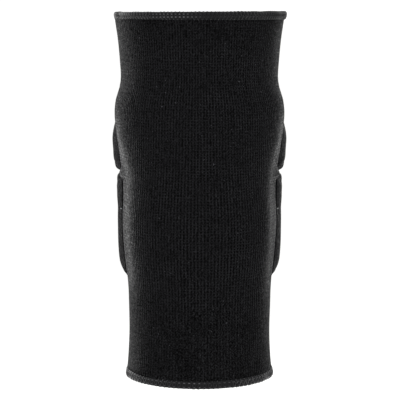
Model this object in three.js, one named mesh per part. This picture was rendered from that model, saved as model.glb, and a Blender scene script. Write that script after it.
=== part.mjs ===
// Volleyball knee pad: a knitted sleeve that the leg goes through, with two foam pads on its front.
// Millimetres, +Z up towards the thigh, +Y forward through the pads, +X to the wearer's right.
// The origin is on the leg's axis at the bend of the knee.
import * as THREE from 'three';
import { ParametricGeometry } from 'three/addons/geometries/ParametricGeometry.js';

// Sizes of the sleeve
const LENGTH_ABOVE_KNEE = 110.5;
const LENGTH_BELOW_KNEE = 142.9;
const SLEEVE_WIDTH = 118.4;
const SLEEVE_DEPTH = 120;
const SLEEVE_WALL = 2.4;

// Sizes of the overlocked hems, which stand a little proud of the knit on both of its faces
const TOP_HEM_HEIGHT = 5.2;
const BOTTOM_HEM_HEIGHT = 5.6;
const HEM_THICKNESS = 3.8;

// Sizes of the pads: their far edges above and below the bend of the knee, the notch between them just below it,
// how far round the leg their side edges lie from its front, and the thickness of foam and cover in the middle,
// beside the side edges and at the edge itself
const UPPER_PAD_TOP = 62;
const LOWER_PAD_BOTTOM = -76;
const NOTCH_HEIGHT = -1.3;
const PAD_REACH_DEG = 80;
const PAD_THICKNESS_FRONT = 16;
const PAD_THICKNESS_SIDE = 8.4;
const PAD_EDGE_HEIGHT = 4.5;
const PAD_EDGE_ROUNDING = 0.7;

// Channels sewn across the lower pad, each with its distance below the bend of the knee
const CHANNELS = [
  { below: 14.5, width: 8, depth: 1.2 },
  { below: 26, width: 10, depth: 2 },
];

// Clear gaps between pieces: from a pad or hem to the knit, and between the two pads
const SEAT_GAP = 0.35;
const PAD_GAP = 0.7;

// Roundness of closed outlines: 2 is an ellipse, and higher is squarer
const PAD_OUTLINE_SQUARENESS = 20;
const PAD_CROWN_SQUARENESS = 5;
const PAD_CROWN_FULLNESS = 3;
const HEM_SQUARENESS = 2.6;

// Fineness of the faceted surfaces
const ROUND_LEG_STEPS = 52;
const SLEEVE_STATIONS = 30;
const HEM_STEPS = 8;
const PAD_STEPS_AROUND = 28;
const PAD_STEPS_UP = 14;
const PAD_STEPS_THICK = 2;
const PAD_EDGE_CROWDING = 1.4;

// Sections of the sleeve from its lower edge to its upper one.
// at: height, -1 at the lower edge, 0 at the bend of the knee, 1 at the upper edge
// width, depth: shares of SLEEVE_WIDTH and SLEEVE_DEPTH
// forward: how far the section's middle lies forward of the leg's axis, as a share of SLEEVE_DEPTH
const SECTIONS = [
  { at: -1.0, width: 0.873, depth: 0.872, forward: -0.034 },
  { at: -0.958, width: 0.853, depth: 0.862, forward: -0.034 },
  { at: -0.872, width: 0.836, depth: 0.858, forward: -0.034 },
  { at: -0.775, width: 0.829, depth: 0.862, forward: -0.034 },
  { at: -0.661, width: 0.836, depth: 0.872, forward: -0.034 },
  { at: -0.533, width: 0.846, depth: 0.884, forward: -0.03 },
  { at: -0.439, width: 0.871, depth: 0.892, forward: -0.022 },
  { at: -0.332, width: 0.895, depth: 0.9, forward: -0.01 },
  { at: -0.228, width: 0.906, depth: 0.91, forward: 0.002 },
  { at: -0.104, width: 0.897, depth: 0.922, forward: 0.013 },
  { at: 0.0, width: 0.905, depth: 0.932, forward: 0.018 },
  { at: 0.118, width: 0.936, depth: 0.944, forward: 0.018 },
  { at: 0.253, width: 0.977, depth: 0.956, forward: 0.015 },
  { at: 0.373, width: 0.998, depth: 0.962, forward: 0.01 },
  { at: 0.462, width: 0.978, depth: 0.96, forward: 0.006 },
  { at: 0.525, width: 0.939, depth: 0.956, forward: 0.003 },
  { at: 0.587, width: 0.921, depth: 0.954, forward: 0.001 },
  { at: 0.688, width: 0.93, depth: 0.96, forward: 0.0 },
  { at: 0.838, width: 0.956, depth: 0.974, forward: 0.0 },
  { at: 0.925, width: 0.98, depth: 0.986, forward: 0.0 },
  { at: 1.0, width: 1.0, depth: 1.0, forward: 0.0 },
];

// Sections of each pad from the notch to its far edge.
// at: share of the pad's height
// reach, side: shares of PAD_REACH_DEG and PAD_THICKNESS_SIDE
const UPPER_PAD_SECTIONS = [
  { at: 0.0, reach: 1.03, side: 1.4 },
  { at: 0.1, reach: 1.02, side: 1.22 },
  { at: 0.22, reach: 1.0, side: 1.02 },
  { at: 0.36, reach: 0.97, side: 1.0 },
  { at: 0.46, reach: 0.92, side: 0.96 },
  { at: 0.56, reach: 0.845, side: 0.92 },
  { at: 0.7, reach: 0.76, side: 0.9 },
  { at: 0.85, reach: 0.66, side: 0.9 },
  { at: 0.95, reach: 0.55, side: 0.9 },
  { at: 1.0, reach: 0.45, side: 0.9 },
];
const LOWER_PAD_SECTIONS = [
  { at: 0.0, reach: 1.02, side: 1.2 },
  { at: 0.12, reach: 1.005, side: 1.08 },
  { at: 0.25, reach: 0.985, side: 1.0 },
  { at: 0.45, reach: 0.965, side: 0.93 },
  { at: 0.75, reach: 0.985, side: 1.0 },
  { at: 0.88, reach: 0.99, side: 1.0 },
  { at: 0.96, reach: 0.95, side: 1.0 },
  { at: 1.0, reach: 0.88, side: 1.0 },
];

const sectionCurve = new THREE.CubicInterpolant(
  SECTIONS.map((row) => row.at),
  SECTIONS.flatMap((row) => [row.width, row.depth, row.forward]),
  3,
);

// The sleeve's outer section at a height: an ellipse with its half width, half depth and middle.
function sectionAt(z) {
  const at = z > 0 ? z / LENGTH_ABOVE_KNEE : z / LENGTH_BELOW_KNEE;
  const [width, depth, forward] = sectionCurve.evaluate(THREE.MathUtils.clamp(at, -1, 1));
  return {
    halfWidth: (width * SLEEVE_WIDTH) / 2,
    halfDepth: (depth * SLEEVE_DEPTH) / 2,
    forward: forward * SLEEVE_DEPTH,
  };
}

// The point at an angle from the front of the leg, as far outside the sleeve's outer face as outward says.
function onSleeve(angle, z, outward, target) {
  const { halfWidth, halfDepth, forward } = sectionAt(z);
  const x = halfWidth * Math.sin(angle);
  const y = halfDepth * Math.cos(angle);
  const normal = new THREE.Vector2(x / halfWidth ** 2, y / halfDepth ** 2).normalize();
  return target.set(x + outward * normal.x, forward + y + outward * normal.y, z);
}

// A power that keeps the sign, which squares off a round outline.
function squared(value, squareness) {
  return Math.sign(value) * Math.abs(value) ** (2 / squareness);
}

// A closed ring round the leg. Its section is a closed line of points { z, outward }.
function ringGeometry(section) {
  const point = (u, v, target) => {
    const place = v * section.length;
    const index = Math.floor(place);
    const from = section[index % section.length];
    const to = section[(index + 1) % section.length];
    const z = THREE.MathUtils.lerp(from.z, to.z, place - index);
    const outward = THREE.MathUtils.lerp(from.outward, to.outward, place - index);
    onSleeve(2 * Math.PI * u, z, outward, target);
  };
  return new ParametricGeometry(point, ROUND_LEG_STEPS, section.length);
}

// The knit wall: up its inner face and down its outer one, between the two hems.
function sleeveGeometry() {
  const lowest = -LENGTH_BELOW_KNEE + BOTTOM_HEM_HEIGHT + SEAT_GAP;
  const highest = LENGTH_ABOVE_KNEE - TOP_HEM_HEIGHT - SEAT_GAP;
  const heights = Array.from({ length: SLEEVE_STATIONS }, (_, i) =>
    THREE.MathUtils.lerp(lowest, highest, i / (SLEEVE_STATIONS - 1)));
  const inner = heights.map((z) => ({ z, outward: -SLEEVE_WALL }));
  const outer = heights.map((z) => ({ z, outward: 0 })).reverse();
  return ringGeometry([...inner, ...outer]);
}

// A hem: a ring with a rounded section, centred on the knit wall, from its lowest height up.
function hemGeometry(lowest, height) {
  const section = Array.from({ length: HEM_STEPS }, (_, i) => {
    const turn = (2 * Math.PI * i) / HEM_STEPS;
    return {
      z: lowest + (height / 2) * (1 - squared(Math.cos(turn), HEM_SQUARENESS)),
      outward: -SLEEVE_WALL / 2 - (HEM_THICKNESS / 2) * squared(Math.sin(turn), HEM_SQUARENESS),
    };
  });
  return ringGeometry(section);
}

// How far a point of a square is pulled in, so that the square's corners turn round.
function cornerShare(across, upward) {
  const round = (Math.abs(across) ** PAD_OUTLINE_SQUARENESS + Math.abs(upward) ** PAD_OUTLINE_SQUARENESS);
  return Math.max(Math.abs(across), Math.abs(upward)) / Math.max(round ** (1 / PAD_OUTLINE_SQUARENESS), 1e-9);
}

// Moves evenly spaced grid lines closer together towards both edges.
function crowded(share) {
  return Math.sign(share) * (1 - (1 - Math.abs(share)) ** PAD_EDGE_CROWDING);
}

// A crown's height at a share of the way from the middle to an edge: 1 in the middle, 0 at the edge.
function crownShare(share) {
  return (1 - Math.abs(share) ** PAD_CROWN_SQUARENESS) ** (1 / PAD_CROWN_FULLNESS);
}

// A pad: a block bent onto the front of the sleeve, from the notch to its far edge above or below it. Its inner
// face lies on the knit, its edges are low walls, and its outer face is a crown between them.
function padGeometry({ farEdge, sections, channels }) {
  const geometry = new THREE.BoxGeometry(2, 2, 2, PAD_STEPS_AROUND, PAD_STEPS_THICK, PAD_STEPS_UP);
  const position = geometry.attributes.position;
  const curve = new THREE.CubicInterpolant(
    sections.map((row) => row.at),
    sections.flatMap((row) => [row.reach, row.side]),
    2,
  );
  const direction = Math.sign(farEdge - NOTCH_HEIGHT);
  const nearEdge = NOTCH_HEIGHT + (direction * PAD_GAP) / 2;
  const halfHeight = Math.abs(farEdge - nearEdge) / 2;
  const middle = (farEdge + nearEdge) / 2;
  const point = new THREE.Vector3();
  for (let i = 0; i < position.count; i += 1) {
    point.fromBufferAttribute(position, i);
    point.setX(crowded(point.x)).setZ(crowded(point.z));
    const across = direction * point.x * cornerShare(point.x, point.z);
    const upward = point.z * cornerShare(point.x, point.z);
    const inset = PAD_EDGE_ROUNDING * point.y ** 2;
    const z = middle + direction * (halfHeight - inset) * upward;
    const [reachShare, sideShare] = curve.evaluate((1 + upward) / 2);
    const reach = THREE.MathUtils.degToRad(PAD_REACH_DEG * reachShare) - inset / sectionAt(z).halfWidth;
    const side = PAD_THICKNESS_SIDE * sideShare;
    let thickness = THREE.MathUtils.lerp(PAD_THICKNESS_FRONT, side, across ** 2);
    for (const { below, width, depth } of channels) {
      thickness -= depth * Math.exp(-(((z + below) / (width / 2)) ** 2));
    }
    const crown = crownShare(point.x) * crownShare(point.z);
    const top = PAD_EDGE_HEIGHT + (thickness - PAD_EDGE_HEIGHT) * crown;
    const height = THREE.MathUtils.lerp(0, top, (1 + point.y) / 2);
    onSleeve(reach * across, z, SEAT_GAP + height, point);
    position.setXYZ(i, point.x, point.y, point.z);
  }
  geometry.computeVertexNormals();
  return geometry;
}

const knit = new THREE.MeshStandardMaterial({ color: 0x17171a, roughness: 0.92, metalness: 0 });
const thread = new THREE.MeshStandardMaterial({ color: 0x2e2e31, roughness: 0.8, metalness: 0 });
const padCover = new THREE.MeshStandardMaterial({ color: 0x1b1b1e, roughness: 0.88, metalness: 0 });

function piece(name, geometry, material) {
  const mesh = new THREE.Mesh(geometry, material);
  mesh.name = name;
  return mesh;
}

const kneePad = new THREE.Group();
kneePad.add(
  piece('knit_sleeve', sleeveGeometry(), knit),
  piece('top_hem', hemGeometry(LENGTH_ABOVE_KNEE - TOP_HEM_HEIGHT, TOP_HEM_HEIGHT), thread),
  piece('bottom_hem', hemGeometry(-LENGTH_BELOW_KNEE, BOTTOM_HEM_HEIGHT), thread),
  piece('upper_pad', padGeometry({
    farEdge: UPPER_PAD_TOP,
    sections: UPPER_PAD_SECTIONS,
    channels: [],
  }), padCover),
  piece('lower_pad', padGeometry({
    farEdge: LOWER_PAD_BOTTOM,
    sections: LOWER_PAD_SECTIONS,
    channels: CHANNELS,
  }), padCover),
);

export default kneePad;
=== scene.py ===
"""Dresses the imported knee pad: its rib-knit sleeve, its two overlocked hems and its two foam pads.

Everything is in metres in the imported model's frame: +Z up the leg, +Y forward through the pads, +X to the
wearer's right, with the origin on the leg's axis at the bend of the knee. The camera stands behind it.
"""

import functools
import math

import bpy
import numpy as np
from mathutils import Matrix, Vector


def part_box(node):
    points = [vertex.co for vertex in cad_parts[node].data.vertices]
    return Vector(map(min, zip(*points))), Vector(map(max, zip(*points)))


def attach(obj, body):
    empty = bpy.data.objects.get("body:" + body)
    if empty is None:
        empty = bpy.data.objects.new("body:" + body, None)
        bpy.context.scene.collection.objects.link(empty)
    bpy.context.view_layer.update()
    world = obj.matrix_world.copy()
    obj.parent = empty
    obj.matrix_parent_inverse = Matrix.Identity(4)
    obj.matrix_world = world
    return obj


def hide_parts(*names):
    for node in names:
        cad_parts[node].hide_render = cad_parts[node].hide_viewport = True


bl_info = {
    "name": "Knitted Knee Pad",
    "version": (1, 0, 0),
    "blender": (4, 5, 0),
    "location": "3D Viewport > Sidebar > Knee Pad",
    "description": "Dresses a knitted knee pad with ribs, overlock threads and stitched foam pads",
    "category": "Add Mesh",
}

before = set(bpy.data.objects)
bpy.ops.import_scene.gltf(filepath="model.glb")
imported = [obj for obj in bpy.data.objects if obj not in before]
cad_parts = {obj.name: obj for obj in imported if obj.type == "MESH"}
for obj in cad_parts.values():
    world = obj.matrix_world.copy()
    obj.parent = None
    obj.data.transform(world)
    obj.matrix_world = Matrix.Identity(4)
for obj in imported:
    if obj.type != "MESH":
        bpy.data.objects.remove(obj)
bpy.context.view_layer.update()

MM = 0.001
TURN = 2 * math.pi

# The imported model's own heights
TOP_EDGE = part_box("top_hem")[1].z
TOP_HEM_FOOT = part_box("top_hem")[0].z
BOTTOM_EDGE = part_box("bottom_hem")[0].z
BOTTOM_HEM_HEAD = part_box("bottom_hem")[1].z
UPPER_PAD_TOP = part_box("upper_pad")[1].z
LOWER_PAD_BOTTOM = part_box("lower_pad")[0].z

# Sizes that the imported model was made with
SLEEVE_WIDTH = 118.4 * MM
SLEEVE_DEPTH = 120 * MM
SLEEVE_WALL = 2.4 * MM
HEM_THICKNESS = 3.8 * MM
HEM_SQUARENESS = 2.6
NOTCH_HEIGHT = -1.3 * MM
PAD_GAP = 0.7 * MM
SEAT_GAP = 0.35 * MM
PAD_FRONT = 16 * MM
PAD_SIDE = 8.4 * MM
PAD_EDGE_HEIGHT = 4.5 * MM
PAD_EDGE_ROUNDING = 0.7 * MM
PAD_OUTLINE_SQUARENESS = 20
PAD_CROWN_SQUARENESS = 5
PAD_CROWN_FULLNESS = 3

# The dressed pads' ends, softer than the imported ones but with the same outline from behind
PAD_REACH = math.radians(80)
PAD_SOFT_REACH = math.radians(12)
PAD_SOFT_EDGE = 0.8 * MM

# Sections of the leg that the sleeve is formed to: height as a share of the length above or below the knee,
# width and depth as shares of the sleeve's, and how far the middle lies forward as a share of its depth
LEG_SECTIONS = np.array([
    (-1.0, 0.873, 0.872, -0.034), (-0.958, 0.853, 0.862, -0.034), (-0.872, 0.836, 0.858, -0.034),
    (-0.775, 0.829, 0.862, -0.034), (-0.661, 0.836, 0.872, -0.034), (-0.533, 0.846, 0.884, -0.03),
    (-0.439, 0.871, 0.892, -0.022), (-0.332, 0.895, 0.9, -0.01), (-0.228, 0.906, 0.91, 0.002),
    (-0.104, 0.897, 0.922, 0.013), (0.0, 0.905, 0.932, 0.018), (0.118, 0.936, 0.944, 0.018),
    (0.253, 0.977, 0.956, 0.015), (0.373, 0.998, 0.962, 0.01), (0.462, 0.978, 0.96, 0.006),
    (0.525, 0.939, 0.956, 0.003), (0.587, 0.921, 0.954, 0.001), (0.688, 0.93, 0.96, 0.0),
    (0.838, 0.956, 0.974, 0.0), (0.925, 0.98, 0.986, 0.0), (1.0, 1.0, 1.0, 0.0),
])

# Sections of each pad from the notch to its far edge: share of the pad's height, its reach round the leg as
# a share of PAD_REACH, and its thickness at the side as a share of PAD_SIDE
UPPER_PAD_SECTIONS = np.array([
    (0.0, 1.03, 1.7), (0.1, 1.02, 1.46), (0.22, 1.0, 1.2), (0.36, 0.97, 1.11), (0.46, 0.92, 0.96),
    (0.56, 0.845, 0.87), (0.7, 0.76, 0.88), (0.85, 0.66, 0.9), (0.95, 0.55, 0.9), (1.0, 0.45, 0.9),
])
LOWER_PAD_SECTIONS = np.array([
    (0.0, 1.02, 1.415), (0.12, 1.005, 1.29), (0.25, 0.985, 1.135), (0.45, 0.965, 1.02), (0.75, 0.985, 1.12),
    (0.88, 0.99, 1.13), (0.96, 0.95, 1.12), (1.0, 0.88, 1.04),
])

# Channels sewn across the lower pad: distance below the origin, width and depth
CHANNELS = ((14.5 * MM, 8 * MM, 1.2 * MM), (27.2 * MM, 10 * MM, 2.0 * MM))

# The fold between the two pads, the bar tacks beside the lower one, and the stitches round both: their
# thickness, and their length as a share of a step
FOLD_HALF_WIDTH = 1.8 * MM
FOLD_HALF_HEIGHT = 2.3 * MM
FOLD_REACH = math.radians(82)
TACK_HEIGHT = -26.4 * MM
TACK_RADIUS = 0.36 * MM
STITCH_RADIUS = 0.32 * MM
STITCH_SHARE = 0.66

# Where the knit rises and dips beside the pads, by the angle from the front, how deep it dips, and how far
# it is drawn out at the notch
RISE_ANGLE = math.radians(93)
DIP_ANGLE = math.radians(102.5)
DIP_TURN = math.radians(5)
DIP_DEPTH = 1.22 * MM
NOTCH_PULL = 2.4 * MM

# Sizes of unevenness: patches, mottling, fibres, tufts and lint of the knit, then of the threads, with the
# patches of their painted highlight, and of the paper
PATCH_SIZE = 16 * MM
MOTTLE_SIZE = 3.2 * MM
FIBRE_SIZE = 0.8 * MM
TUFT_SIZE = 2.0 * MM
LINT_SIZE = 1.1 * MM
STRAND_SIZE = 0.5 * MM
GLINT_PATCH_SIZE = 9 * MM
WOUND_SIZE = 0.7 * MM
PAPER_SIZE = 0.4
THREAD_RELIEF = 0.15 * MM

# The holes of the knit, painted dark as shade, are open within one distance of a height, above and below
# it, and nearly closed beyond another
KNIT_OPEN_MIDDLE = 3 * MM
KNIT_OPEN_REACH = 80 * MM
KNIT_CLOSED_REACH = 105 * MM

# The photograph is square, and its camera stands level with the upper edge
CAMERA_DISTANCE = 1.19
CAMERA_PITCH = math.radians(6.3)
CAMERA_AIM = (0.385 * MM, 0.0, -20.4 * MM)
CAMERA_LENS = 153
STUDIO_BRIGHTNESS = 1.12
FLOOR_REACH = 60.0

# Soft boxes beyond the knee pad on both sides: name, place to the right and forward, and power in watts
SOFTBOXES = (("left_softbox", -0.85, 0.9, 8.0), ("right_softbox", 0.6, 1.2, 3.7))
SOFTBOX_HEIGHT = 0.05
SOFTBOX_SIZE = (0.5, 1.0)

# Fineness of the knit and pad surfaces
COLUMNS_PER_RIB = 6
SLEEVE_OUTER_ROWS = 62
SLEEVE_INNER_ROWS = 18
PAD_COLUMNS = 57
PAD_ROWS = 33
PAD_WALL_RINGS = 5


def from_hex(colour):
    """An sRGB colour such as #1A1A1C as linear red, green and blue."""
    parts = np.array([int(colour[i:i + 2], 16) / 255 for i in (1, 3, 5)])
    return tuple(np.where(parts <= 0.04045, parts / 12.92, ((parts + 0.055) / 1.055) ** 2.4))


def length_property(name, description, default):
    """A length of a property group, in metres."""
    return bpy.props.FloatProperty(
        name=name, description=description, default=default, unit="LENGTH", precision=5)


def colour_property(name, description, default):
    """A colour of a property group, from an sRGB hex value."""
    return bpy.props.FloatVectorProperty(
        name=name, description=description, subtype="COLOR", default=from_hex(default))


class KneePadSizes(bpy.types.PropertyGroup):
    """Sizes of the knit, the threads, the stitches and the creases, and the floor's distance."""

    rib_count: bpy.props.IntProperty(
        name="Ribs", description="Upright ribs all round the sleeve", default=165, min=60, max=240)
    rib_relief: length_property("Rib relief", "Height of a rib above its grooves", 0.15 * MM)
    course_pitch: length_property("Course pitch", "Height of one row of stitches", 2.0 * MM)
    top_stitches: bpy.props.IntProperty(
        name="Top hem stitches", description="Overlock stitches round the upper hem", default=137)
    bottom_stitches: bpy.props.IntProperty(
        name="Bottom hem stitches", description="Overlock stitches round the lower hem", default=93)
    thread_radius: length_property(
        "Thread radius", "Half the thickness of the bulked overlock thread", 0.5 * MM)
    cover_pitch: length_property("Cover pitch", "Width of one wale of the knit over the pads", 1.9 * MM)
    seam_pitch: length_property("Seam pitch", "Length of one stitch round the pads", 3.0 * MM)
    channel_depth: length_property("Channel depth", "Depth of the crease along each sewn channel", 1.0 * MM)
    floor_drop: length_property("Floor drop", "Distance of the floor below the lower hem", 0.25)


class KneePadFinish(bpy.types.PropertyGroup):
    """Colours of the cloth, the threads and the floor's paper, with the painted shade of the knit's holes
    and the painted highlight of the thread's loops.
    """

    knit_colour: colour_property("Knit", "Lightest fibres of the sleeve's rib knit", "#252527")
    # Painted shade in the holes and grooves of both knits, and also the colour of their darkest fibres
    fibre_and_hole_shade_colour: colour_property("Grooves", "Holes between the stitches", "#040404")
    thread_colour: colour_property("Thread", "Overlock thread", "#1C1C1E")
    # Painted highlight where the thread's outer loops catch the light, on the hems' beads and the bar tacks
    thread_glint_colour: colour_property(
        "Thread loops", "Outer loops of the thread, where it catches the light", "#77777A")
    cover_colour: colour_property("Pad cover", "Lightest fibres of the close knit over the foam", "#252527")
    paper_colour: colour_property("Paper", "Studio paper of the floor", "#F6F6F5")


def curve_through(table, column, at):
    """Smooth curve through one column of a table whose first column is the place. Between two rows it is
    a cubic, and its slope at a row is the mean of the straight slopes on both sides of the row."""
    places, values = table[:, 0], table[:, column]
    straight = np.diff(values) / np.diff(places)
    slopes = np.concatenate([straight[:1], (straight[:-1] + straight[1:]) / 2, straight[-1:]])
    at = np.clip(at, places[0], places[-1])
    row = np.clip(np.searchsorted(places, at, side="right") - 1, 0, len(places) - 2)
    step = places[row + 1] - places[row]
    p = (at - places[row]) / step
    return (values[row] * (1 + 2 * p) * (1 - p) ** 2 + values[row + 1] * p ** 2 * (3 - 2 * p)
            + slopes[row] * step * p * (1 - p) ** 2 - slopes[row + 1] * step * p ** 2 * (1 - p))


def leg_section(z):
    """Half width, half depth and forward shift of the sleeve's outer ellipse at height z, from curves
    through LEG_SECTIONS at z over the length above or below the knee."""
    at = np.where(z > 0, z / TOP_EDGE, z / -BOTTOM_EDGE)
    width, depth, forward = (curve_through(LEG_SECTIONS, column, at) for column in (1, 2, 3))
    return width * SLEEVE_WIDTH / 2, depth * SLEEVE_DEPTH / 2, forward * SLEEVE_DEPTH


def on_leg(angle, z, outward):
    """Points at an angle from the front of the leg: the ellipse's x = half width sin(angle) and y =
    forward + half depth cos(angle), moved outward along the ellipse's own normal (x / half width squared,
    y / half depth squared)."""
    half_width, half_depth, forward = leg_section(z)
    x, y = half_width * np.sin(angle), half_depth * np.cos(angle)
    across, ahead = x / half_width ** 2, y / half_depth ** 2
    length = np.hypot(across, ahead)
    x, y = x + outward * across / length, forward + y + outward * ahead / length
    return np.stack(np.broadcast_arrays(x, y, z), axis=-1)


def squared(value, squareness):
    """A power of 2 / squareness that keeps the sign, which squares off a round outline."""
    return np.sign(value) * np.abs(value) ** (2 / squareness)


def bump_at(place, middle, reach, sharpness=2):
    """A smooth hump: 1 at the middle, e to the power -(distance / reach) ** sharpness beside it."""
    return np.exp(-np.abs((place - middle) / reach) ** sharpness)


def soft_waves(around, along, seed, wavelength, waves=14):
    """Gentle unevenness of about -1 to 1: the sum of seeded sine waves with whole turns round the leg and
    seeded lengths along it, over the square root of their number."""
    random = np.random.default_rng(seed)
    turns = random.integers(-9, 10, waves)
    lengths = random.uniform(-1, 1, waves) * TURN / wavelength
    starts = random.uniform(0, TURN, waves)
    total = sum(np.sin(turn * around + length * along + start)
                for turn, length, start in zip(turns, lengths, starts))
    return total / math.sqrt(waves)


def grid_faces(rows, columns, close_rows=False, close_columns=False):
    """Quads of a grid of points that are numbered row by row. A closed direction joins its last line to its
    first."""
    down, along = rows if close_rows else rows - 1, columns if close_columns else columns - 1
    row, column = np.indices((down, along)).reshape(2, -1)
    next_row, next_column = (row + 1) % rows, (column + 1) % columns
    return np.stack([row * columns + column, row * columns + next_column,
                     next_row * columns + next_column, next_row * columns + column], axis=1)


def encloses(points, faces):
    """Six times the volume inside the quads, below zero where they face inwards: the sum of a . (b x c)
    over both triangles of each quad."""
    a, b, c, d = (points[faces[:, i]] for i in range(4))
    return np.sum(a * np.cross(b, c)) + np.sum(a * np.cross(c, d))


def new_piece(name, points, faces, material, corners=None, **values):
    """A smooth mesh object from points and outward-facing quads. corners is a (faces, 4, 2) array for the
    UV map that patterns follow, and values are numbers at each point for the material."""
    points = points.reshape(-1, 3)
    if encloses(points, faces) < 0:
        faces = faces[:, ::-1]
        corners = None if corners is None else corners[:, ::-1]
    mesh = bpy.data.meshes.new(name)
    mesh.from_pydata(points, [], faces)
    mesh.shade_smooth()
    for label, numbers in values.items():
        attribute = mesh.attributes.new(label, "FLOAT", "POINT")
        attribute.data.foreach_set("value", numbers.astype(np.float32).ravel())
    if corners is not None:
        layer = mesh.uv_layers.new(name="OFBake", do_init=False)
        layer.uv.foreach_set("vector", corners.astype(np.float32).ravel())
    mesh.materials.append(material)
    piece = bpy.data.objects.new(name, mesh)
    bpy.context.collection.objects.link(piece)
    return piece


def belongs(piece, slot, *nodes):
    """Makes a piece ride on the knee pad's one body, in place of the CAD nodes named. slot is not
    used."""
    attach(piece, "root")
    if nodes:
        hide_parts(*nodes)


def add_node(tree, kind, sockets=(), output=0, **settings):
    """Adds a shader node with its settings and returns one of its outputs. sockets gives its inputs
    values, or other nodes' outputs to link: in their order, or by name or number."""
    node = tree.nodes.new("ShaderNode" + kind)
    for name, value in settings.items():
        setattr(node, name, value)
    for socket, value in (sockets.items() if isinstance(sockets, dict) else enumerate(sockets)):
        if isinstance(value, bpy.types.NodeSocket):
            tree.links.new(value, node.inputs[socket])
        else:
            node.inputs[socket].default_value = value
    return node.outputs[output]


def new_material(name, roughness, sheen, sheen_roughness, specular):
    """A material with one Principled shader, that shader, and add_node for the material's own nodes."""
    material = bpy.data.materials.new(name)
    material.use_nodes = True
    shader = material.node_tree.nodes["Principled BSDF"]
    constants = {"Roughness": roughness, "Sheen Weight": sheen, "Sheen Roughness": sheen_roughness,
                 "Specular IOR Level": specular}
    for socket, value in constants.items():
        shader.inputs[socket].default_value = value
    return material, shader, functools.partial(add_node, material.node_tree)


def link_to(shader, outputs):
    """Links other nodes' outputs to the sockets of the shader that they are named for."""
    for socket, output in outputs.items():
        shader.id_data.links.new(output, shader.inputs[socket])


def weighted_sum(add, start, *parts):
    """start plus each part times its weight, one after another."""
    for part, weight in parts:
        start = add("Math", (part, weight, start), operation="MULTIPLY_ADD")
    return start


def wave_of(add, phase):
    """A wave from 0 to 1 that is 1 at every whole number of the phase: half of 1 + cos(2 pi phase)."""
    angle = add("Math", (phase, TURN), operation="MULTIPLY")
    return weighted_sum(add, 0.5, (add("Math", (angle,), operation="COSINE"), 0.5))


def knit_pattern(add, shader, wale, row_height, colours, contrast, specular, relief):
    """Stitches of a rib knit. wale numbers the upright ribs, and the height over row_height the rows of
    stitches. Each groove between two ribs has a hole at every row, painted dark as the shade that falls
    into it, the grooves are painted a little darker as shade, and each rib shows slanting loops: the row's
    wave, shifted by a quarter of a row between rib and groove. Noise in three sizes makes the painted holes
    and rubbed fibres come and go, and near both ends of the sleeve the holes close. Their weighted sum
    mixes the colours, whose darker one is both the darkest fibres and the painted shade, and rare specks of
    pale lint lie over them. The fibres also set how much of the specular level each place has, with more of
    it where the attribute stretch says that the knit is drawn tight, and tufts of fibres make it more or
    less matt."""
    where = add("TexCoord", output="Object")
    noises = ((PATCH_SIZE, 3.0), (MOTTLE_SIZE, 2.0), (FIBRE_SIZE, 2.0), (TUFT_SIZE, 3.0), (LINT_SIZE, 0.0))
    patches, mottle, fibres, tufts, specks = (
        add("TexNoise", {"Vector": where, "Scale": 1 / size, "Detail": detail}) for size, detail in noises)
    height = add("SeparateXYZ", (where,), "Z")
    course = add("Math", (height, row_height), operation="DIVIDE")
    groove = wave_of(add, wale)
    row = weighted_sum(add, course, (mottle, 0.3))
    loops = wave_of(add, weighted_sum(add, row, (groove, 0.25)))
    # Painted shade: a dark hole at every row in each groove, where shade falls into the knit
    narrow_groove = add("Math", (groove, 1.5), operation="POWER")
    hole = add("Math", (narrow_groove, wave_of(add, row)), operation="MULTIPLY")
    shown = add("Math", (hole, weighted_sum(add, -0.7, (patches, 3.0))), operation="MULTIPLY")
    from_middle = add("Math", (weighted_sum(add, -KNIT_OPEN_MIDDLE, (height, 1.0)),), operation="ABSOLUTE")
    opened = add("MapRange", {
        "Value": from_middle, "From Min": KNIT_OPEN_REACH, "From Max": KNIT_CLOSED_REACH,
        "To Min": 1.0, "To Max": 0.3})
    shown = add("Math", (shown, opened), operation="MULTIPLY")
    # The weights of the groove and of the holes paint shade along the grooves and in the holes
    parts = ((fibres, 2.4), (mottle, 0.35), (patches, 0.6), (loops, 0.15), (groove, -0.1), (shown, -1.0),
             (opened, 0.25))
    parts = ((part, weight * contrast) for part, weight in parts)
    light = weighted_sum(add, 0.17 - 1.65 * contrast, *parts)
    # The first colour paints the darkest fibres and the shade in the holes and grooves
    grooves, fuzz = ((*colour, 1) for colour in colours)
    pale = (*(3 * part for part in colours[1]), 1)
    knit = add("Mix", {0: light, 6: grooves, 7: fuzz}, 2, data_type="RGBA")
    lint = weighted_sum(add, -11.3, (specks, 14.0))
    stretch = add("Attribute", output="Fac", attribute_name="stretch")
    tight = weighted_sum(add, 0.86, (stretch, 1.75))
    caught = weighted_sum(add, -1.3 * specular, (fibres, 4.6 * specular))
    caught = add("Math", (caught, 0.05 * specular), operation="MAXIMUM")
    matt = weighted_sum(add, 1.0, (tufts, -1.0))
    bumps = weighted_sum(add, 0.0, (fibres, 1.8), (loops, 0.3), (shown, -0.8), (groove, -0.15))
    link_to(shader, {
        "Base Color": add("Mix", {0: lint, 6: knit, 7: pale}, 2, data_type="RGBA"),
        "Specular IOR Level": add("Math", (caught, tight), operation="MULTIPLY"),
        "Roughness": add("Math", (matt, 0.3), operation="MAXIMUM"),
        "Normal": add("Bump", {"Strength": 1.0, "Distance": relief, "Height": bumps}, "Normal"),
    })


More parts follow.
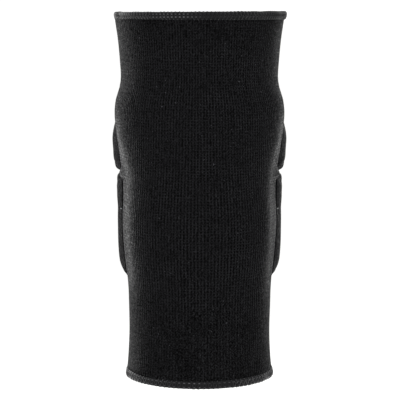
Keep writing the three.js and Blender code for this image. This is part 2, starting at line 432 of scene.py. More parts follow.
def make_rib_knit(sizes, finish):
    """Black polyester and elastane rib knit, knitted as a tube and softened by use. The eye sees a
    nearly black, matt wall in fine upright ribs with dark pinholes between the stitches, whose dark is
    painted as shade, and a pale fuzz where it turns away."""
    material, shader, add = new_material("black_rib_knit", 0.5, 0.04, 0.2, 0.0)
    around = add("SeparateXYZ", (add("UVMap", uv_map="OFBake"),), "X")
    wale = add("Math", (around, float(sizes.rib_count)), operation="MULTIPLY")
    knit_pattern(add, shader, wale, sizes.course_pitch, (finish.fibre_and_hole_shade_colour, finish.knit_colour),
                 contrast=1.0, specular=0.016, relief=0.16 * MM)
    return material


def make_pad_cover(sizes, finish):
    """Close black knit drawn tight over foam. The eye sees the sleeve's wales spread flatter and closer,
    with less fuzz. The wales are drawn 1.9 mm wide, wider than the real 1.2 mm, so that they show in the
    render."""
    material, shader, add = new_material("black_pad_cover_knit", 0.5, 0.0, 0.25, 0.0)
    around = add("Attribute", output="Fac", attribute_name="around")
    wale = add("Math", (around, sizes.cover_pitch), operation="DIVIDE")
    knit_pattern(add, shader, wale, sizes.cover_pitch, (finish.fibre_and_hole_shade_colour, finish.cover_colour),
                 contrast=0.8, specular=0.004, relief=0.12 * MM)
    return material


def make_thread(name, colour, loop_colour):
    """Bulked polyester overlock thread, crimped so that it fluffs out. The eye sees soft dark grey
    strands without a clear twist. Where its loops stand out they catch the light, and that highlight is
    painted into the colour in patches."""
    material, shader, add = new_material(name, 0.4, 0.0, 0.3, 0.1)
    brushed, loop = (add("Attribute", output="Fac", attribute_name=label) for label in ("brushed", "loop"))
    where = add("TexCoord", output="Object")
    strands = add("TexNoise", {"Vector": where, "Scale": 1 / STRAND_SIZE, "Detail": 3.0})
    patches = add("TexNoise", {"Vector": where, "Scale": 1 / GLINT_PATCH_SIZE, "Detail": 2.0})
    # Painted highlight: the glint values, in patches, mix in the pale colour where the thread's loops catch
    # the light
    shown = add("Math", (loop, weighted_sum(add, -0.6, (patches, 2.6))), operation="MULTIPLY")
    shade = weighted_sum(add, -0.24, (strands, 0.96))
    shaded = (*(0.45 * part for part in colour), 1)
    fluffed = add("Mix", {0: shade, 6: (*colour, 1), 7: shaded}, 2, data_type="RGBA")
    link_to(shader, {
        "Base Color": add("Mix", {0: shown, 6: fluffed, 7: (*loop_colour, 1)}, 2, data_type="RGBA"),
        "Sheen Weight": weighted_sum(add, 0.1, (brushed, 0.3)),
        "Normal": add("Bump", {"Strength": 1.0, "Distance": THREAD_RELIEF, "Height": strands}, "Normal"),
    })
    return material


def make_wound_edge(colour):
    """The same bulked thread, wound closely over the knit's cut edge. The eye sees fine, slightly
    slanting strands from the foot of the hem to its edge, which fill the ground between the loopers.
    Where the thread is brushed up its fuzz hides them."""
    material, shader, add = new_material("wound_overlock_thread", 0.4, 0.0, 0.3, 0.07)
    along, over = (add("SeparateXYZ", (add("UVMap", uv_map="OFBake"),), axis) for axis in "XY")
    brushed, strands = (
        add("Attribute", output="Fac", attribute_name=label) for label in ("brushed", "strands"))
    strand = wave_of(add, weighted_sum(add, 0.0, (along, strands), (over, 2.0)))
    where = add("TexCoord", output="Object")
    fluff = add("TexNoise", {"Vector": where, "Scale": 1 / WOUND_SIZE, "Detail": 2.0})
    uneven = weighted_sum(add, -0.9, (fluff, 0.7), (strand, 1.1))
    light = weighted_sum(add, 0.6, (uneven, weighted_sum(add, 1.25, (brushed, -0.48))))
    outer_face = wave_of(add, weighted_sum(add, -0.25, (over, 1.0)))
    fuzz = add("Math", (weighted_sum(add, 0.55, (light, 0.4)), outer_face), operation="MULTIPLY")
    dark = (*(0.35 * part for part in colour), 1)
    link_to(shader, {
        "Base Color": add("Mix", {0: light, 6: dark, 7: (*colour, 1)}, 2, data_type="RGBA"),
        "Sheen Weight": add("Math", (brushed, fuzz), operation="MULTIPLY"),
        "Normal": add("Bump", {"Strength": 1.0, "Distance": THREAD_RELIEF, "Height": light}, "Normal"),
    })
    return material


def make_studio_paper(finish):
    """Matt paper of a studio floor. The eye sees an even, nearly white ground with a very faint mottle."""
    material, shader, add = new_material("matt_studio_paper", 1.0, 0.0, 0.5, 0.0)
    light, shade = ((*(part * share for part in finish.paper_colour), 1) for share in (1.0, 0.985))
    where = add("TexCoord", output="Object")
    mottle = add("TexNoise", {"Vector": where, "Scale": 1 / PAPER_SIZE, "Detail": 2.0})
    link_to(shader, {"Base Color": add("Mix", {0: mottle, 6: light, 7: shade}, 2, data_type="RGBA")})
    return material


def rib_spread(z):
    """How much wider the ribs lie behind the knee than in front: 0.02 - 0.14 tanh((z - 8 mm) / 30 mm)."""
    return 0.02 - 0.14 * np.tanh((z - 8 * MM) / (30 * MM))


def sleeve_surface(sizes):
    """The knit wall as a closed line of rows, up the outer face and down the inner one, by columns round
    the leg. A column's angle from the back is its share of a turn u plus rib_spread sin(u). The outer
    face stands out by the rib relief times sin(pi rib phase) ** 0.8 and by a slight unevenness. Beside
    the pads the knit is drawn straight from their feet to the back: it rises by up to 1.3 mm at
    RISE_ANGLE and dips by up to DIP_DEPTH at DIP_ANGLE, or up to DIP_TURN nearer to the front beside the
    upper pad, both with soft flanks, and between the two pads it is drawn out by NOTCH_PULL. The inner
    face has ribs of a third of the height. Also how tight the knit is drawn at each point, 0 to 2."""
    columns = sizes.rib_count * COLUMNS_PER_RIB
    share = np.arange(columns) / columns
    low, high = BOTTOM_HEM_HEAD - 1.6 * MM, TOP_HEM_FOOT + 1.6 * MM
    rows = np.concatenate([
        np.linspace(low, high, SLEEVE_OUTER_ROWS), np.linspace(high, low, SLEEVE_INNER_ROWS)])
    outer = (np.arange(len(rows)) < SLEEVE_OUTER_ROWS)[:, None]
    z = rows[:, None]
    from_back = TURN * (share - 0.5)[None, :]
    from_back = from_back + rib_spread(z) * np.sin(from_back)
    from_front = math.pi - from_back
    turned = np.abs(np.abs(from_back) - math.pi)
    rib = np.abs(np.sin(math.pi * share * sizes.rib_count))[None, :] ** 0.8
    beside_pads = bump_at(z, -22 * MM, 58 * MM, 8)
    narrow = bump_at(z, 26 * MM, 22 * MM)
    rise = MM * (0.65 - 0.25 * narrow + 0.6 * bump_at(z, 13 * MM, 20 * MM, 4))
    rise = rise * bump_at(turned, RISE_ANGLE, math.radians(11))
    middle = DIP_ANGLE - DIP_TURN * bump_at(z, 24 * MM, 14 * MM)
    rise = rise - DIP_DEPTH * bump_at(turned, middle, np.radians(10.8 - 3.5 * narrow))
    pinched = bump_at(z, NOTCH_HEIGHT, 2.4 * MM) * bump_at(turned, math.radians(89), math.radians(10))
    rise = beside_pads * rise + NOTCH_PULL * pinched
    uneven = 0.12 * MM * soft_waves(from_back, z, seed=5, wavelength=60 * MM)
    relief = sizes.rib_relief * (rib - 0.65)
    outward = np.where(outer, relief + uneven + rise, -SLEEVE_WALL - relief / 3 + uneven + rise)
    stretch = bump_at(turned, middle + math.radians(3.5), np.radians(14 - 4 * narrow), 2.5)
    stretch = beside_pads * stretch * (1 + narrow)
    return on_leg(from_front, z, outward), stretch, rows, columns


def closed_map(faces_across, faces_along, across_from=0.0, across_to=1.0):
    """UV corners of a grid that closes in both directions: along the columns from 0 to 1, and along the
    rows from one share to another. The order is that of grid_faces."""
    row, column = np.indices((faces_across, faces_along)).reshape(2, -1)
    step = (across_to - across_from) / faces_across
    left, right = column / faces_along, (column + 1) / faces_along
    low, high = across_from + row * step, across_from + (row + 1) * step
    corners = (left, low), (right, low), (right, high), (left, high)
    return np.stack([np.stack(corner, axis=-1) for corner in corners], axis=1)


def hem_surface(turn, around, hem, inset):
    """Points and outward normals on a hem's rounded section, inset metres below its surface. turn is 0 at
    the free edge and a quarter at the middle of the outer face. Height from the middle is the half height
    times cos(turn), and outward the half thickness times sin(turn), both squared off by HEM_SQUARENESS.
    The whole hem bulges a little outwards, sits to one side of the leg's axis and is slightly tilted, as
    sewn."""
    half_height, half_thickness = hem["height"] / 2 - inset, HEM_THICKNESS / 2 - inset
    up, out = squared(np.cos(turn), HEM_SQUARENESS), squared(np.sin(turn), HEM_SQUARENESS)
    z = hem["middle"] + hem["edge"] * half_height * up
    outward = hem["proud"] * (1 - up ** 4) - SLEEVE_WALL / 2 + half_thickness * out
    slope_up = hem["edge"] * squared(up, 2 / (HEM_SQUARENESS - 1)) / half_height
    slope_out = squared(out, 2 / (HEM_SQUARENESS - 1)) / half_thickness
    point = on_leg(around, z, outward)
    level = on_leg(around, z, outward + MM) - point
    normal = slope_out[..., None] * level / MM + slope_up[..., None] * np.array([0.0, 0.0, 1.0])
    point = point + np.array([hem["sideways"], 0.0, 0.0])
    point[..., 2] += hem["tilt"] * np.sin(around)
    return point, normal / np.linalg.norm(normal, axis=-1, keepdims=True)


def tube_along(path, normal, radius, sides=6):
    """A closed tube round a closed path. Each ring of points is path + radius (cos t normal + sin t
    side), where side is square to the path and to the normal."""
    forward = np.roll(path, -1, axis=0) - np.roll(path, 1, axis=0)
    forward /= np.linalg.norm(forward, axis=1, keepdims=True)
    normal = normal - np.sum(normal * forward, axis=1, keepdims=True) * forward
    normal /= np.linalg.norm(normal, axis=1, keepdims=True)
    side = np.cross(forward, normal)
    turn = TURN * np.arange(sides) / sides
    ring = np.cos(turn)[None, :, None] * normal[:, None, :] + np.sin(turn)[None, :, None] * side[:, None, :]
    return path[:, None, :] + radius[:, None, None] * ring


def thread_map(rings, sides, strips):
    """UV corners of a long closed tube, cut into strips that lie above each other: along a strip from 0
    to 1, and round the tube across its own strip."""
    ring, side = np.indices((rings, sides)).reshape(2, -1)
    in_strip = math.ceil(rings / strips)
    strip, place = ring // in_strip, ring % in_strip
    near, far = place / in_strip, (place + 1) / in_strip
    low, high = ((strip + 0.05 + 0.9 * (side + step) / sides) / strips for step in (0, 1))
    corners = (near, low), (near, high), (far, high), (far, low)
    return np.stack([np.stack(corner, axis=-1) for corner in corners], axis=1)


def at_height(hem, below_edge):
    """The turn on a hem's outer face at a distance below its free edge."""
    share = 1 - 2 * below_edge / hem["height"]
    return math.acos(math.copysign(abs(share) ** (HEM_SQUARENESS / 2), share))


def zigzag(phase):
    """A rounded zigzag from -1 to 1: arcsin(0.97 sin(2 pi phase)) over its own highest value."""
    return np.arcsin(0.97 * np.sin(TURN * phase)) / math.asin(0.97)


def hem_thread(hem, low_turn, high_turn, shift, samples, radius):
    """Path, normals and loop values of a looper thread: at stitch number t it lies at t's share of a turn
    round the leg, leans by 0.1 of a stitch, and swings between two turns on the hem's section."""
    steps = hem["stitches"] * samples
    stitch = np.arange(steps) / samples
    swing = zigzag(stitch + shift)
    lean = 0.1 * np.sin(2 * TURN * (stitch + shift))
    around = math.pi + TURN * (stitch + lean) / hem["stitches"]
    turn = (low_turn + high_turn) / 2 + (high_turn - low_turn) / 2 * swing
    point, normal = hem_surface(turn, around, hem, radius)
    wobble = 0.12 * MM * soft_waves(around, stitch, 11, 3.7)
    return point + wobble[:, None] * normal, normal, np.zeros(steps)


def bobbing_thread(hem, below_edge, shown, radius):
    """Path, normals and glint values of a thread that lies along the hem below its edge, above the other
    threads for the length of a bead at each stitch and under them between two. Its glint values paint a
    highlight on each bead, and shown scales how light that painted highlight is."""
    steps = hem["stitches"] * 8
    stitch = np.arange(steps) / 8
    around = math.pi + TURN * stitch / hem["stitches"]
    bob = np.cos(TURN * stitch)
    point, normal = hem_surface(np.full(steps, at_height(hem, below_edge)), around, hem, radius)
    # Painted highlight: where round the hem the beads are lit most, and how much of it is left elsewhere
    bead_glint = bump_at(around - math.pi, hem["glint_at"], hem["glint_reach"])
    light = shown * (hem["glint_least"] + (1 - hem["glint_least"]) * bead_glint)
    return point + (0.9 * radius * (bob - 0.6))[:, None] * normal, normal, light * np.clip(bob, 0, 1) ** 2


def merged(parts):
    """One mesh from several: its points, quads, UV corners and values, each later part numbered on."""
    counts = np.cumsum([0] + [len(part["points"]) for part in parts])
    whole = {key: np.concatenate([part[key] for part in parts]) for key in ("points", "corners", "loop")}
    whole["faces"] = np.concatenate([part["faces"] + count for part, count in zip(parts, counts)])
    return whole


def overlock(hem, sizes):
    """The threads of one hem: the outer looper from the hem's foot over its outer face to the edge, the
    inner looper from there over the edge to the inner needle line, and two threads along the hem whose
    stitches show as small beads at the needle line and at the interlock line."""
    radius = sizes.thread_radius
    foot, edge = at_height(hem, hem["height"] - 0.3 * MM), at_height(hem, 0.12 * MM)
    threads = [hem_thread(hem, foot, edge, 0.25, 16, radius),
               hem_thread(hem, edge + 0.2, -at_height(hem, hem["needle"]), 0.5, 16, radius),
               bobbing_thread(hem, hem["needle"], hem["shown"], 0.7 * radius),
               bobbing_thread(hem, hem["interlock"], 0.7 * hem["shown"], 0.7 * radius)]
    shares = np.cumsum([0, 0.35, 0.35, 0.15, 0.15])
    parts = []
    for (point, normal, loop), thickness, strips, low, high in zip(
            threads, (1.0, 0.95, 0.7, 0.7), (24, 24, 12, 12), shares, shares[1:]):
        rings = tube_along(point, normal, radius * thickness * (1 + 0.2 * loop))
        corners = thread_map(len(point), 6, strips)
        corners[..., 1] = low + (high - low) * corners[..., 1]
        parts.append({"points": rings.reshape(-1, 3), "faces": grid_faces(len(point), 6, True, True),
                      "corners": corners, "loop": np.repeat(loop, 6)})
    return merged(parts)


def hem_band(hem, inset):
    """The closely wound thread under the loopers: the hem's rounded section, inset, all round the leg."""
    columns, steps = 260, 14
    turn = (TURN * np.arange(steps) / steps)[:, None]
    around = (TURN * np.arange(columns) / columns)[None, :]
    turn, around = np.broadcast_arrays(turn, around)
    return hem_surface(turn, around, hem, inset)[0], columns, steps


def brushed_at(hem, points):
    """How far a hem's thread is brushed up at each point: from one value at the camera's left to another
    at its right."""
    across = points[..., 0]
    return np.interp(across / across.max(), (-1, 1), hem["brushed"])


def crowded(share):
    """Evenly spaced places moved closer to both ends: sign(s) (1 - (1 - |s|) ** 1.4)."""
    return np.sign(share) * (1 - (1 - np.abs(share)) ** 1.4)


def corner_share(across, upward):
    """How far a point of a square is pulled in so that the square's corners turn round: the larger of the
    two coordinates over their root of degree PAD_OUTLINE_SQUARENESS."""
    across, upward = np.abs(across), np.abs(upward)
    degree = PAD_OUTLINE_SQUARENESS
    root = (across ** degree + upward ** degree) ** (1 / degree)
    return np.maximum(across, upward) / np.maximum(root, 1e-9)


def crown(share, squareness, fullness):
    """Height of a cushion's crown from its middle, 1, to its edge, 0: (1 - |s| ** squareness) ** (1 /
    fullness)."""
    return (1 - np.abs(share) ** squareness) ** (1 / fullness)


def pad_span(far_edge, direction):
    """Half a pad's height, and the height of its middle, between its far edge and the notch. direction is 1
    above the notch and -1 below it."""
    near = NOTCH_HEIGHT + direction * PAD_GAP / 2
    return abs(far_edge - near) / 2, (far_edge + near) / 2


def pad_points(pad, across, upward, depth):
    """Points of a pad from across and upward, -1 to 1 over its outline, and depth, -1 on its inner face
    and 1 on its outer one. The thickness goes from 16 mm at the front to the section's own at the side
    with the square of across, less a soft dip at each channel that is weaker at the side. A full crown
    joins it to the edge height at the top and the foot of the pad, a gentle one tapers it to a thin edge
    round the side, and depth scales it."""
    direction = pad["direction"]
    half_height, middle = pad_span(pad["far_edge"], direction)
    share = corner_share(across, upward)
    inset = PAD_EDGE_ROUNDING * depth ** 2
    z = middle + direction * (half_height - inset) * upward * share
    at = (1 + upward * share) / 2
    reach = PAD_REACH * curve_through(pad["sections"], 1, at) + PAD_SOFT_REACH - inset / leg_section(z)[0]
    side = PAD_SIDE * curve_through(pad["sections"], 2, at)
    thickness = PAD_FRONT + (side - PAD_FRONT) * (across * share) ** 2
    for below, width, dip in pad["channels"]:
        thickness = thickness - dip * bump_at(z, -below, width / 2) * (1 - 0.9 * (across * share) ** 2)
    rounded = crown(upward, PAD_CROWN_SQUARENESS, PAD_CROWN_FULLNESS)
    ends = PAD_EDGE_HEIGHT + (thickness - PAD_EDGE_HEIGHT) * rounded
    top = PAD_SOFT_EDGE + (ends - PAD_SOFT_EDGE) * crown(across, 5, 0.95)
    angle = direction * reach * across * share
    return on_leg(angle, z, SEAT_GAP + top * (1 + depth) / 2), angle * leg_section(z)[1]


def pad_cage(pad):
    """A pad as a closed shell of quads: an outer and an inner grid, joined round their edges by rings of
    wall. Also the distance round the leg at each point."""
    across, upward = np.meshgrid(crowded(np.linspace(-1, 1, PAD_COLUMNS)), pad["rows"], indexing="ij")
    grid = np.arange(across.size).reshape(across.shape)
    edge = np.concatenate([grid[:-1, 0], grid[-1, :-1], grid[:0:-1, -1], grid[0, :0:-1]])
    sheets = [pad_points(pad, across, upward, depth) for depth in (1.0, -1.0)]
    depths = np.linspace(1, -1, PAD_WALL_RINGS)[1:-1]
    walls = [pad_points(pad, across.ravel()[edge], upward.ravel()[edge], depth) for depth in depths]
    points = np.concatenate([part[0].reshape(-1, 3) for part in sheets + walls])
    around = np.concatenate([part[1].ravel() for part in sheets + walls])
    face = grid_faces(*across.shape)
    rings = [edge, *(2 * across.size + np.arange(len(depths) * len(edge)).reshape(len(depths), -1)),
             edge + across.size]
    wall = [np.stack([upper, lower, np.roll(lower, -1), np.roll(upper, -1)], axis=1)
            for upper, lower in zip(rings, rings[1:])]
    faces = np.concatenate([face, face[:, ::-1] + across.size, *wall])
    return points, faces, around


def finer(piece, levels):
    """Applies a Catmull-Clark subdivision of that many levels."""
    modifier = piece.modifiers.new("Subdivision", "SUBSURF")
    modifier.levels = modifier.render_levels = levels
    depsgraph = bpy.context.evaluated_depsgraph_get()
    mesh = bpy.data.meshes.new_from_object(piece.evaluated_get(depsgraph))
    piece.modifiers.clear()
    piece.data = mesh


def press_channels(piece, pad, depth):
    """Presses a narrow crease along each sewn channel into the cover: every point of the outer face moves
    towards the leg by depth times a hump of 0.9 mm beside the channel's line. The crease fades out from
    56 to 66 degrees round the leg, short of the pad's side."""
    places = np.empty(len(piece.data.vertices) * 3, np.float32)
    normals = np.empty_like(places)
    piece.data.vertices.foreach_get("co", places)
    piece.data.vertex_normals.foreach_get("vector", normals)
    places, normals = places.reshape(-1, 3).astype(float), normals.reshape(-1, 3)
    angle = np.arctan2(places[:, 0], places[:, 1])
    seat = on_leg(angle, places[:, 2], 0.0)
    height = np.hypot(*(places - seat)[:, :2].T)
    push = sum(bump_at(places[:, 2], -below, 0.9 * MM) for below, _, _ in pad["channels"])
    fade = np.clip((math.radians(66) - np.abs(angle)) / math.radians(10), 0, 1)
    push = push * depth * fade * np.clip(height / (4 * MM) - 0.4, 0, 1)
    piece.data.vertices.foreach_set("co", (places - push[:, None] * normals).astype(np.float32).ravel())
    piece.data.update()


def rod_faces(rings, sides=6):
    """Quads of a closed rod of six-sided rings, with two quads over each end."""
    last = (rings - 1) * sides
    caps = np.array([[0, 3, 2, 1], [0, 5, 4, 3], [0, 1, 2, 3], [0, 3, 4, 5]])
    caps[2:] += last
    return np.concatenate([grid_faces(rings, sides, False, True), caps])


def capsules(starts, ends, normals, radius, squash=0.7):
    """Short stitches from starts to ends: each is a closed bead of 5 rings of 6 points on an oval, whose
    radius goes with sin(pi t) ** 0.5 along it, and which is flattened towards the cloth."""
    t = np.array([0.03, 0.2, 0.5, 0.8, 0.97])
    turn = TURN * np.arange(6) / 6
    forward = ends - starts
    along = forward / np.linalg.norm(forward, axis=1, keepdims=True)
    side = np.cross(along, normals)
    side /= np.linalg.norm(side, axis=1, keepdims=True)
    up = np.cross(side, along)
    size = radius * np.sin(math.pi * t) ** 0.5
    centre = starts[:, None, :] + forward[:, None, :] * t[None, :, None]
    centre = centre + (0.5 * radius * np.sin(math.pi * t))[None, :, None] * up[:, None, :]
    ring = (np.cos(turn)[None, None, :, None] * side[:, None, None, :]
            + squash * np.sin(turn)[None, None, :, None] * up[:, None, None, :])
    points = centre[:, :, None, :] + size[None, :, None, None] * ring
    faces = (rod_faces(5)[None, :, :] + 30 * np.arange(len(starts))[:, None, None]).reshape(-1, 4)
    return points.reshape(-1, 3), faces


def notch_fold():
    """The fold of cover cloth between the two pads: a flat six-sided rod round the front of the leg at
    the height of the notch. Its half width and half height go to a twentieth at its ends with (1 - |s| **
    20) ** 0.5."""
    share = np.linspace(-1, 1, 121)
    size = np.maximum((1 - np.abs(share) ** 20) ** 0.5, 0.05)[:, None]
    turn = (TURN * np.arange(6) / 6)[None, :]
    z = NOTCH_HEIGHT + FOLD_HALF_WIDTH * size * np.sin(turn)
    outward = 1.9 * MM + FOLD_HALF_HEIGHT * size * np.cos(turn)
    angle = FOLD_REACH * share[:, None]
    return on_leg(angle, z, outward), angle * leg_section(z)[1]


class KNEEPAD_OT_stage(bpy.types.Operator):
    """Set up the camera behind the knee, the soft lights and the pale floor"""

    bl_idname = "knee_pad.stage"
    bl_label = "Stage"

    def execute(self, context):
        sizes, finish = context.scene.knee_pad_sizes, context.scene.knee_pad_finish
        camera = bpy.data.objects.new("camera", bpy.data.cameras.new("camera"))
        camera.data.sensor_width = 36
        camera.data.lens = CAMERA_LENS
        camera.location = (CAMERA_AIM[0], CAMERA_AIM[1] - CAMERA_DISTANCE * math.cos(CAMERA_PITCH),
                           CAMERA_AIM[2] + CAMERA_DISTANCE * math.sin(CAMERA_PITCH))
        camera.rotation_euler = (math.pi / 2 - CAMERA_PITCH, 0, 0)
        context.collection.objects.link(camera)
        context.scene.camera = camera
        context.scene.view_settings.view_transform = "Standard"

        z, sides = BOTTOM_EDGE - sizes.floor_drop, ((-1, -1), (1, -1), (1, 1), (-1, 1))
        corners = [(x * FLOOR_REACH, y * FLOOR_REACH, z) for x, y in sides]
        mesh = bpy.data.meshes.new("floor")
        mesh.from_pydata(corners, [], [(0, 1, 2, 3)])
        mesh.materials.append(make_studio_paper(finish))
        floor = bpy.data.objects.new("floor", mesh)
        context.collection.objects.link(floor)

        world = bpy.data.worlds.new("white_studio")
        world.use_nodes = True
        background = world.node_tree.nodes["Background"]
        background.inputs["Color"].default_value = (1.0, 1.0, 1.0, 1.0)
        background.inputs["Strength"].default_value = STUDIO_BRIGHTNESS
        context.scene.world = world

        # The soft boxes face the knee pad from beyond it, and light its edges as the camera sees them
        for name, x, y, power in SOFTBOXES:
            light = bpy.data.lights.new(name, "AREA")
            light.shape = "RECTANGLE"
            light.size, light.size_y = SOFTBOX_SIZE
            light.energy = power
            lamp = bpy.data.objects.new(name, light)
            lamp.location = (x, y, SOFTBOX_HEIGHT)
            lamp.rotation_euler = (math.pi / 2, 0, math.pi - math.atan2(x, y))
            context.collection.objects.link(lamp)
        return {"FINISHED"}


class KNEEPAD_OT_sleeve(bpy.types.Operator):
    """Knit the sleeve with its upright ribs, formed to the leg"""

    bl_idname = "knee_pad.sleeve"
    bl_label = "Knit sleeve"

    def execute(self, context):
        sizes, finish = context.scene.knee_pad_sizes, context.scene.knee_pad_finish
        points, stretch, rows, columns = sleeve_surface(sizes)
        faces = grid_faces(len(rows), columns, True, True)
        material = make_rib_knit(sizes, finish)
        piece = new_piece("ribbed_sleeve", points, faces, material, corners=closed_map(len(rows), columns),
                          stretch=stretch)
        belongs(piece, "knit", "knit_sleeve")
        return {"FINISHED"}


class KNEEPAD_OT_hems(bpy.types.Operator):
    """Overlock both edges of the sleeve with bulked thread over a closely wound ground"""

    bl_idname = "knee_pad.hems"
    bl_label = "Overlocked hems"

    def execute(self, context):
        sizes, finish = context.scene.knee_pad_sizes, context.scene.knee_pad_finish
        thread = make_thread("bulked_overlock_thread", finish.thread_colour, finish.thread_glint_colour)
        wound = make_wound_edge(finish.thread_colour)
        # Three values of each hem set where round it the beads' painted highlight is strongest, how far it
        # spreads and how much of it is left elsewhere; shown scales it
        hems = (
            {"name": "top", "edge": 1, "low": TOP_HEM_FOOT - 0.6 * MM, "high": TOP_EDGE + 0.4 * MM,
             "stitches": sizes.top_stitches, "needle": 3.8 * MM, "interlock": 1.7 * MM,
             "sideways": 0.6 * MM, "proud": 0.25 * MM, "tilt": 0.25 * MM, "glint_at": 0.31,
             "glint_reach": 0.3, "glint_least": 0.15, "brushed": (1.8, 0.1), "shown": 1.1},
            {"name": "bottom", "edge": -1, "low": BOTTOM_EDGE - 0.25 * MM,
             "high": BOTTOM_HEM_HEAD + 0.5 * MM, "stitches": sizes.bottom_stitches, "needle": 4.4 * MM,
             "interlock": 1.5 * MM, "sideways": 0.0, "proud": 0.0, "tilt": 0.0, "glint_at": 0.0,
             "glint_reach": 0.6, "glint_least": 0.4, "brushed": (1.2, 1.8), "shown": 0.65},
        )
        for hem in hems:
            hem["middle"], hem["height"] = (hem["low"] + hem["high"]) / 2, hem["high"] - hem["low"]
            points, columns, steps = hem_band(hem, 0.2 * MM)
            faces = grid_faces(steps, columns, True, True)
            band = new_piece(hem["name"] + "_hem_edge", points, faces, wound,
                             corners=closed_map(steps, columns), brushed=brushed_at(hem, points),
                             strands=np.full(steps * columns, 2 * hem["stitches"]))
            belongs(band, "overlock_thread")
            threads = overlock(hem, sizes)
            piece = new_piece(hem["name"] + "_overlock", threads["points"], threads["faces"], thread,
                              corners=threads["corners"], loop=threads["loop"],
                              brushed=brushed_at(hem, threads["points"]))
            belongs(piece, "overlock_thread", hem["name"] + "_hem")
        return {"FINISHED"}


def pads():
    """What tells the two pads apart: their far edges, sections, sewn channels and rows of points."""
    rows = crowded(np.linspace(-1, 1, PAD_ROWS))
    half_height, middle = pad_span(LOWER_PAD_BOTTOM, -1)
    lines = np.array([(middle + below) / half_height for below, _, _ in CHANNELS])
    beside = np.concatenate([lines + offset * MM / half_height for offset in (-2.4, -1.1, 0, 1.1, 2.4)])
    far = np.abs(rows[:, None] - lines[None, :]).min(axis=1) > 3.4 * MM / half_height
    lower_rows = np.sort(np.concatenate([rows[far], beside]))
    return (
        {"name": "upper_pad", "direction": 1, "far_edge": UPPER_PAD_TOP, "sections": UPPER_PAD_SECTIONS,
         "channels": (), "rows": rows},
        {"name": "lower_pad", "direction": -1, "far_edge": LOWER_PAD_BOTTOM, "sections": LOWER_PAD_SECTIONS,
         "channels": CHANNELS, "rows": lower_rows},
    )


class KNEEPAD_OT_pads(bpy.types.Operator):
    """Make the two foam pads in their knitted covers, creased along their sewn channels"""

    bl_idname = "knee_pad.pads"
    bl_label = "Foam pads"

    def execute(self, context):
        sizes, finish = context.scene.knee_pad_sizes, context.scene.knee_pad_finish
        cover = make_pad_cover(sizes, finish)
        for pad in pads():
            points, faces, around = pad_cage(pad)
            piece = new_piece(pad["name"] + "_cushion", points, faces, cover, around=around)
            finer(piece, 2)
            if pad["channels"]:
                press_channels(piece, pad, sizes.channel_depth)
            belongs(piece, "pad_cover", pad["name"])
        points, around = notch_fold()
        fold = new_piece("notch_fold", points, rod_faces(len(points)), cover, around=around)
        belongs(fold, "pad_cover")
        return {"FINISHED"}


class KNEEPAD_OT_seams(bpy.types.Operator):
    """Stitch the pads down round their edges, and tack the lower one to the sleeve"""

    bl_idname = "knee_pad.seams"
    bl_label = "Pad seams"

    def execute(self, context):
        sizes, finish = context.scene.knee_pad_sizes, context.scene.knee_pad_finish
        thread = make_thread("pad_seam_thread", finish.thread_colour, finish.thread_glint_colour)
        for pad in pads():
            starts, ends, normals = pad_seam(pad, sizes.seam_pitch)
            points, faces = capsules(starts, ends, normals, STITCH_RADIUS)
            # A faint painted highlight on every stitch round the pads
            piece = new_piece(pad["name"] + "_seam", points, faces, thread, loop=np.full(len(points), 0.1))
            belongs(piece, "overlock_thread")
        points, faces = capsules(*side_tacks(pads()[1], TACK_HEIGHT), TACK_RADIUS)
        # A strong painted highlight on the bar tacks
        tacks = new_piece("side_tacks", points, faces, thread, loop=np.full(len(points), 0.9))
        belongs(tacks, "overlock_thread")
        return {"FINISHED"}


def pad_seam(pad, pitch):
    """Starts, ends and normals of the stitches round a pad: even steps along the outline of its inner
    face, each stitch over two thirds of its step."""
    side = np.linspace(-1, 1, 400)
    square = np.concatenate([np.stack([side, -np.ones(400)], 1), np.stack([np.ones(400), side], 1),
                             np.stack([-side, np.ones(400)], 1), np.stack([-np.ones(400), -side], 1)])
    line = pad_points(pad, square[:, 0], square[:, 1], np.full(1600, -0.8))[0]
    length = np.concatenate([[0], np.cumsum(np.linalg.norm(np.diff(line, axis=0), axis=1))])
    count = int(length[-1] / pitch)
    begins = np.arange(count) * length[-1] / count
    starts, ends = (np.stack([np.interp(at, length, line[:, axis]) for axis in range(3)], axis=1)
                    for at in (begins, begins + STITCH_SHARE * length[-1] / count))
    angle = np.arctan2(starts[:, 0], starts[:, 1])
    normals = np.stack([np.sin(angle), np.cos(angle), np.zeros(count)], axis=1)
    return starts, ends, normals


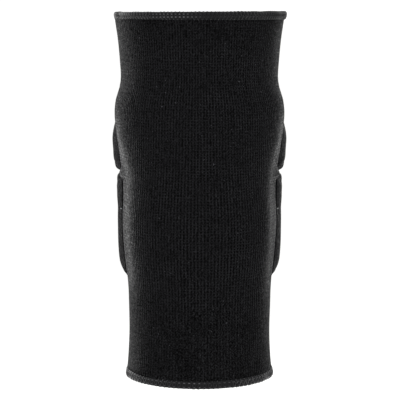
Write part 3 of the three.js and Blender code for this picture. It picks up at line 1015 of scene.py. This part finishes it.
def side_tacks(pad, z):
    """Starts, ends and normals of two bar tacks at height z, one on each side of a pad, from the sleeve
    at 92.5 degrees from the front over the pad's tapered end. Their normals point outwards and
    backwards."""
    half_height, middle = pad_span(pad["far_edge"], pad["direction"])
    upward = (z - middle) / half_height * pad["direction"]
    side = np.array([-1.0, 1.0])
    starts = on_leg(math.radians(-92.5) * side, np.full(2, z), np.full(2, 0.5 * MM))
    ends = pad_points(pad, 0.972 * side, np.full(2, upward), 1.0)[0] + np.array([0, -0.25 * MM, 0.15 * MM])
    normals = np.stack([np.sign(starts[:, 0]), -np.ones(2), 0 * side], axis=1) / math.sqrt(2)
    return starts, ends, normals


class KNEEPAD_PT_panel(bpy.types.Panel):
    """Lists the steps that make the knee pad and the sizes and colours they use"""

    bl_label = "Knee Pad"
    bl_idname = "KNEEPAD_PT_panel"
    bl_space_type = "VIEW_3D"
    bl_region_type = "UI"
    bl_category = "Knee Pad"

    def draw(self, context):
        for step in STEPS:
            self.layout.operator(step.bl_idname)
        for group in (context.scene.knee_pad_sizes, context.scene.knee_pad_finish):
            for name in group.__annotations__:
                self.layout.prop(group, name)


STEPS = (KNEEPAD_OT_stage, KNEEPAD_OT_sleeve, KNEEPAD_OT_hems, KNEEPAD_OT_pads, KNEEPAD_OT_seams)
CLASSES = (KneePadSizes, KneePadFinish, *STEPS, KNEEPAD_PT_panel)


def register():
    for kind in CLASSES:
        bpy.utils.register_class(kind)
    bpy.types.Scene.knee_pad_sizes = bpy.props.PointerProperty(type=KneePadSizes)
    bpy.types.Scene.knee_pad_finish = bpy.props.PointerProperty(type=KneePadFinish)


def unregister():
    del bpy.types.Scene.knee_pad_finish
    del bpy.types.Scene.knee_pad_sizes
    for kind in reversed(CLASSES):
        bpy.utils.unregister_class(kind)


def main():
    """Makes the stage and every piece in order."""
    register()
    bpy.ops.knee_pad.stage()
    bpy.ops.knee_pad.sleeve()
    bpy.ops.knee_pad.hems()
    bpy.ops.knee_pad.pads()
    bpy.ops.knee_pad.seams()


if __name__ == "__main__":
    main()
